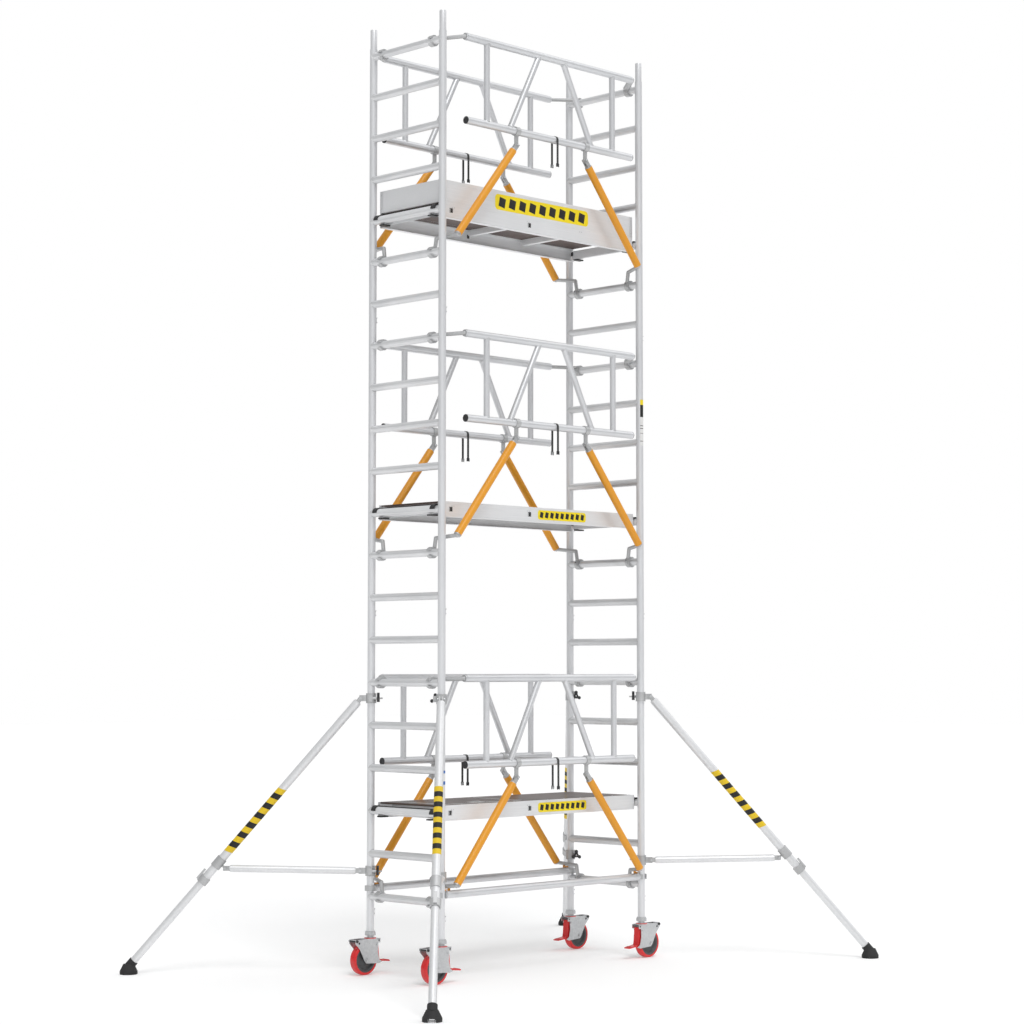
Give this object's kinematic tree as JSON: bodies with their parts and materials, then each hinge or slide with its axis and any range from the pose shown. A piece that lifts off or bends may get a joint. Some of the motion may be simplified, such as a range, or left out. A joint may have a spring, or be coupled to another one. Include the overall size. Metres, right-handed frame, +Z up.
{
  "type": "mobile tower scaffold",
  "caption": "Tall narrow mobile access tower: ladder frames, hatch platforms, folding guardrails, outriggers and braked casters on jacks.",
  "frame": {"origin": "on the floor, at the middle of the tower", "axes": "+Z up; +X along the platforms towards the right ladder; -Y is the near side"},
  "size_m": [4.2646, 3.0366, 6.294],
  "materials": {
    "aluminium_tube": "satin mill finish",
    "black_plastic": "moulded",
    "black_webbing": "woven",
    "orange_leg": "powder coat, satin",
    "plywood_deck": "phenolic film, mesh face",
    "red_pedal": "gloss",
    "red_tyre": "cast polyurethane",
    "zinc_steel": "zinc plated"
  },
  "bodies": {
    "tower": {"guardrail_far_lower": "aluminium_tube", "guardrail_far_middle": "aluminium_tube", "guardrail_far_upper": "aluminium_tube", "guardrail_legs": "orange_leg", "guardrail_near_lower": "aluminium_tube", "guardrail_near_middle": "aluminium_tube", "guardrail_near_upper": "aluminium_tube", "guardrail_straps": "black_webbing", "horizontal_braces": "aluminium_tube", "ladder_frame_left_lower": "aluminium_tube", "ladder_frame_left_middle": "aluminium_tube", "ladder_frame_left_upper": "aluminium_tube", "ladder_frame_right_lower": "aluminium_tube", "ladder_frame_right_middle": "aluminium_tube", "ladder_frame_right_upper": "aluminium_tube", "platform_decks": "plywood_deck", "platform_frame_lower": "aluminium_tube", "platform_frame_middle": "aluminium_tube", "platform_frame_upper": "aluminium_tube", "platform_hook_ends": "black_plastic", "toe_boards": "aluminium_tube"},
    "jack_leg_left_far": {"jack_leg_left_far": "zinc_steel"},
    "jack_nut_left_far": {"jack_nut_left_far": "zinc_steel"},
    "caster_fork_left_far": {"caster_fork_left_far": "zinc_steel"},
    "caster_wheel_left_far": {"caster_wheel_left_far": "red_tyre"},
    "brake_pedal_left_far": {"brake_pedal_left_far": "red_pedal"},
    "outrigger_left_far": {"outrigger_left_far": "aluminium_tube"},
    "outrigger_inner_leg_left_far": {"outrigger_inner_leg_left_far": "aluminium_tube"},
    "upper_knob_left_far": {"upper_knob_left_far": "black_plastic"},
    "lower_knob_left_far": {"lower_knob_left_far": "black_plastic"},
    "jack_leg_left_near": {"jack_leg_left_near": "zinc_steel"},
    "jack_nut_left_near": {"jack_nut_left_near": "zinc_steel"},
    "caster_fork_left_near": {"caster_fork_left_near": "zinc_steel"},
    "caster_wheel_left_near": {"caster_wheel_left_near": "red_tyre"},
    "brake_pedal_left_near": {"brake_pedal_left_near": "red_pedal"},
    "outrigger_left_near": {"outrigger_left_near": "aluminium_tube"},
    "outrigger_inner_leg_left_near": {"outrigger_inner_leg_left_near": "aluminium_tube"},
    "upper_knob_left_near": {"upper_knob_left_near": "black_plastic"},
    "lower_knob_left_near": {"lower_knob_left_near": "black_plastic"},
    "jack_leg_right_far": {"jack_leg_right_far": "zinc_steel"},
    "jack_nut_right_far": {"jack_nut_right_far": "zinc_steel"},
    "caster_fork_right_far": {"caster_fork_right_far": "zinc_steel"},
    "caster_wheel_right_far": {"caster_wheel_right_far": "red_tyre"},
    "brake_pedal_right_far": {"brake_pedal_right_far": "red_pedal"},
    "outrigger_right_far": {"outrigger_right_far": "aluminium_tube"},
    "outrigger_inner_leg_right_far": {"outrigger_inner_leg_right_far": "aluminium_tube"},
    "upper_knob_right_far": {"upper_knob_right_far": "black_plastic"},
    "lower_knob_right_far": {"lower_knob_right_far": "black_plastic"},
    "jack_leg_right_near": {"jack_leg_right_near": "zinc_steel"},
    "jack_nut_right_near": {"jack_nut_right_near": "zinc_steel"},
    "caster_fork_right_near": {"caster_fork_right_near": "zinc_steel"},
    "caster_wheel_right_near": {"caster_wheel_right_near": "red_tyre"},
    "brake_pedal_right_near": {"brake_pedal_right_near": "red_pedal"},
    "outrigger_right_near": {"outrigger_right_near": "aluminium_tube"},
    "outrigger_inner_leg_right_near": {"outrigger_inner_leg_right_near": "aluminium_tube"},
    "upper_knob_right_near": {"upper_knob_right_near": "black_plastic"},
    "lower_knob_right_near": {"lower_knob_right_near": "black_plastic"},
    "hatch_lower": {"platform_hatch_lower": "plywood_deck"},
    "hatch_middle": {"platform_hatch_middle": "plywood_deck"},
    "hatch_upper": {"platform_hatch_upper": "plywood_deck"}
  },
  "joints": [
    {"name": "jack_slide_left_far", "type": "slide", "parent": "tower", "child": "jack_leg_left_far", "axis": [0, 0, -1], "range_m": [0, 0.2]},
    {"name": "jack_nut_turn_left_far", "type": "hinge", "parent": "tower", "child": "jack_nut_left_far", "pos_m": [-0.9535, 0.3395, 0.26], "axis": [0, 0, 1], "range_deg": [0, 7201]},
    {"name": "caster_swivel_left_far", "type": "hinge", "parent": "jack_leg_left_far", "child": "caster_fork_left_far", "pos_m": [-0.9535, 0.3395, 0.235], "axis": [0, 0, 1], "continuous": true},
    {"name": "wheel_spin_left_far", "type": "hinge", "parent": "caster_fork_left_far", "child": "caster_wheel_left_far", "pos_m": [-1.0105, 0.3395, 0.1], "axis": [0, 1, 0], "continuous": true},
    {"name": "brake_lever_left_far", "type": "hinge", "parent": "caster_fork_left_far", "child": "brake_pedal_left_far", "pos_m": [-0.9235, 0.3395, 0.196], "axis": [0, -1, 0], "range_deg": [0, 16]},
    {"name": "outrigger_swing_left_far", "type": "hinge", "parent": "tower", "child": "outrigger_left_far", "pos_m": [-0.9535, 0.3395, 1.2], "axis": [0, 0, 1], "range_deg": [-25, 25]},
    {"name": "outrigger_telescope_left_far", "type": "slide", "parent": "outrigger_left_far", "child": "outrigger_inner_leg_left_far", "axis": [-0.4621, 0.4621, -0.7569], "range_m": [-0.3, 0.25]},
    {"name": "upper_knob_turn_left_far", "type": "hinge", "parent": "outrigger_left_far", "child": "upper_knob_left_far", "pos_m": [-0.94714, 0.27515, 1.805], "axis": [0.7071, -0.7071, 0], "range_deg": [0, 1080]},
    {"name": "lower_knob_turn_left_far", "type": "hinge", "parent": "outrigger_left_far", "child": "lower_knob_left_far", "pos_m": [-0.94714, 0.27515, 0.673], "axis": [0.7071, -0.7071, 0], "range_deg": [0, 1080]},
    {"name": "jack_slide_left_near", "type": "slide", "parent": "tower", "child": "jack_leg_left_near", "axis": [0, 0, -1], "range_m": [0, 0.2]},
    {"name": "jack_nut_turn_left_near", "type": "hinge", "parent": "tower", "child": "jack_nut_left_near", "pos_m": [-0.9535, -0.3395, 0.26], "axis": [0, 0, 1], "range_deg": [0, 7201]},
    {"name": "caster_swivel_left_near", "type": "hinge", "parent": "jack_leg_left_near", "child": "caster_fork_left_near", "pos_m": [-0.9535, -0.3395, 0.235], "axis": [0, 0, 1], "continuous": true},
    {"name": "wheel_spin_left_near", "type": "hinge", "parent": "caster_fork_left_near", "child": "caster_wheel_left_near", "pos_m": [-1.0105, -0.3395, 0.1], "axis": [0, 1, 0], "continuous": true},
    {"name": "brake_lever_left_near", "type": "hinge", "parent": "caster_fork_left_near", "child": "brake_pedal_left_near", "pos_m": [-0.9235, -0.3395, 0.196], "axis": [0, -1, 0], "range_deg": [0, 16]},
    {"name": "outrigger_swing_left_near", "type": "hinge", "parent": "tower", "child": "outrigger_left_near", "pos_m": [-0.9535, -0.3395, 1.2], "axis": [0, 0, 1], "range_deg": [-25, 25]},
    {"name": "outrigger_telescope_left_near", "type": "slide", "parent": "outrigger_left_near", "child": "outrigger_inner_leg_left_near", "axis": [-0.4621, -0.4621, -0.7569], "range_m": [-0.3, 0.25]},
    {"name": "upper_knob_turn_left_near", "type": "hinge", "parent": "outrigger_left_near", "child": "upper_knob_left_near", "pos_m": [-0.94714, -0.27515, 1.805], "axis": [0.7071, 0.7071, 0], "range_deg": [0, 1080]},
    {"name": "lower_knob_turn_left_near", "type": "hinge", "parent": "outrigger_left_near", "child": "lower_knob_left_near", "pos_m": [-0.94714, -0.27515, 0.673], "axis": [0.7071, 0.7071, 0], "range_deg": [0, 1080]},
    {"name": "jack_slide_right_far", "type": "slide", "parent": "tower", "child": "jack_leg_right_far", "axis": [0, 0, -1], "range_m": [0, 0.2]},
    {"name": "jack_nut_turn_right_far", "type": "hinge", "parent": "tower", "child": "jack_nut_right_far", "pos_m": [0.9535, 0.3395, 0.26], "axis": [0, 0, 1], "range_deg": [0, 7201]},
    {"name": "caster_swivel_right_far", "type": "hinge", "parent": "jack_leg_right_far", "child": "caster_fork_right_far", "pos_m": [0.9535, 0.3395, 0.235], "axis": [0, 0, 1], "continuous": true},
    {"name": "wheel_spin_right_far", "type": "hinge", "parent": "caster_fork_right_far", "child": "caster_wheel_right_far", "pos_m": [1.0105, 0.3395, 0.1], "axis": [0, 1, 0], "continuous": true},
    {"name": "brake_lever_right_far", "type": "hinge", "parent": "caster_fork_right_far", "child": "brake_pedal_right_far", "pos_m": [0.9235, 0.3395, 0.196], "axis": [0, 1, 0], "range_deg": [0, 16]},
    {"name": "outrigger_swing_right_far", "type": "hinge", "parent": "tower", "child": "outrigger_right_far", "pos_m": [0.9535, 0.3395, 1.2], "axis": [0, 0, 1], "range_deg": [-25, 25]},
    {"name": "outrigger_telescope_right_far", "type": "slide", "parent": "outrigger_right_far", "child": "outrigger_inner_leg_right_far", "axis": [0.4621, 0.4621, -0.7569], "range_m": [-0.3, 0.25]},
    {"name": "upper_knob_turn_right_far", "type": "hinge", "parent": "outrigger_right_far", "child": "upper_knob_right_far", "pos_m": [0.94714, 0.27515, 1.805], "axis": [-0.7071, -0.7071, 0], "range_deg": [0, 1080]},
    {"name": "lower_knob_turn_right_far", "type": "hinge", "parent": "outrigger_right_far", "child": "lower_knob_right_far", "pos_m": [0.94714, 0.27515, 0.673], "axis": [-0.7071, -0.7071, 0], "range_deg": [0, 1080]},
    {"name": "jack_slide_right_near", "type": "slide", "parent": "tower", "child": "jack_leg_right_near", "axis": [0, 0, -1], "range_m": [0, 0.2]},
    {"name": "jack_nut_turn_right_near", "type": "hinge", "parent": "tower", "child": "jack_nut_right_near", "pos_m": [0.9535, -0.3395, 0.26], "axis": [0, 0, 1], "range_deg": [0, 7201]},
    {"name": "caster_swivel_right_near", "type": "hinge", "parent": "jack_leg_right_near", "child": "caster_fork_right_near", "pos_m": [0.9535, -0.3395, 0.235], "axis": [0, 0, 1], "continuous": true},
    {"name": "wheel_spin_right_near", "type": "hinge", "parent": "caster_fork_right_near", "child": "caster_wheel_right_near", "pos_m": [1.0105, -0.3395, 0.1], "axis": [0, 1, 0], "continuous": true},
    {"name": "brake_lever_right_near", "type": "hinge", "parent": "caster_fork_right_near", "child": "brake_pedal_right_near", "pos_m": [0.9235, -0.3395, 0.196], "axis": [0, 1, 0], "range_deg": [0, 16]},
    {"name": "outrigger_swing_right_near", "type": "hinge", "parent": "tower", "child": "outrigger_right_near", "pos_m": [0.9535, -0.3395, 1.2], "axis": [0, 0, 1], "range_deg": [-25, 25]},
    {"name": "outrigger_telescope_right_near", "type": "slide", "parent": "outrigger_right_near", "child": "outrigger_inner_leg_right_near", "axis": [0.4621, -0.4621, -0.7569], "range_m": [-0.3, 0.25]},
    {"name": "upper_knob_turn_right_near", "type": "hinge", "parent": "outrigger_right_near", "child": "upper_knob_right_near", "pos_m": [0.94714, -0.27515, 1.805], "axis": [-0.7071, 0.7071, 0], "range_deg": [0, 1080]},
    {"name": "lower_knob_turn_right_near", "type": "hinge", "parent": "outrigger_right_near", "child": "lower_knob_right_near", "pos_m": [0.94714, -0.27515, 0.673], "axis": [-0.7071, 0.7071, 0], "range_deg": [0, 1080]},
    {"name": "hatch_hinge_lower", "type": "hinge", "parent": "tower", "child": "hatch_lower", "pos_m": [-0.47, 0.222, 1.118], "axis": [-1, 0, 0], "range_deg": [0, 95]},
    {"name": "hatch_hinge_middle", "type": "hinge", "parent": "tower", "child": "hatch_middle", "pos_m": [-0.47, 0.222, 3.078], "axis": [-1, 0, 0], "range_deg": [0, 95]},
    {"name": "hatch_hinge_upper", "type": "hinge", "parent": "tower", "child": "hatch_upper", "pos_m": [-0.47, 0.222, 5.038], "axis": [-1, 0, 0], "range_deg": [0, 95]}
  ],
  "couplings": [
    {"joint": "jack_nut_turn_left_far", "follows": "jack_slide_left_far", "rad_per_m": 628.32},
    {"joint": "jack_nut_turn_left_near", "follows": "jack_slide_left_near", "rad_per_m": 628.32},
    {"joint": "jack_nut_turn_right_far", "follows": "jack_slide_right_far", "rad_per_m": 628.32},
    {"joint": "jack_nut_turn_right_near", "follows": "jack_slide_right_near", "rad_per_m": 628.32}
  ]
}
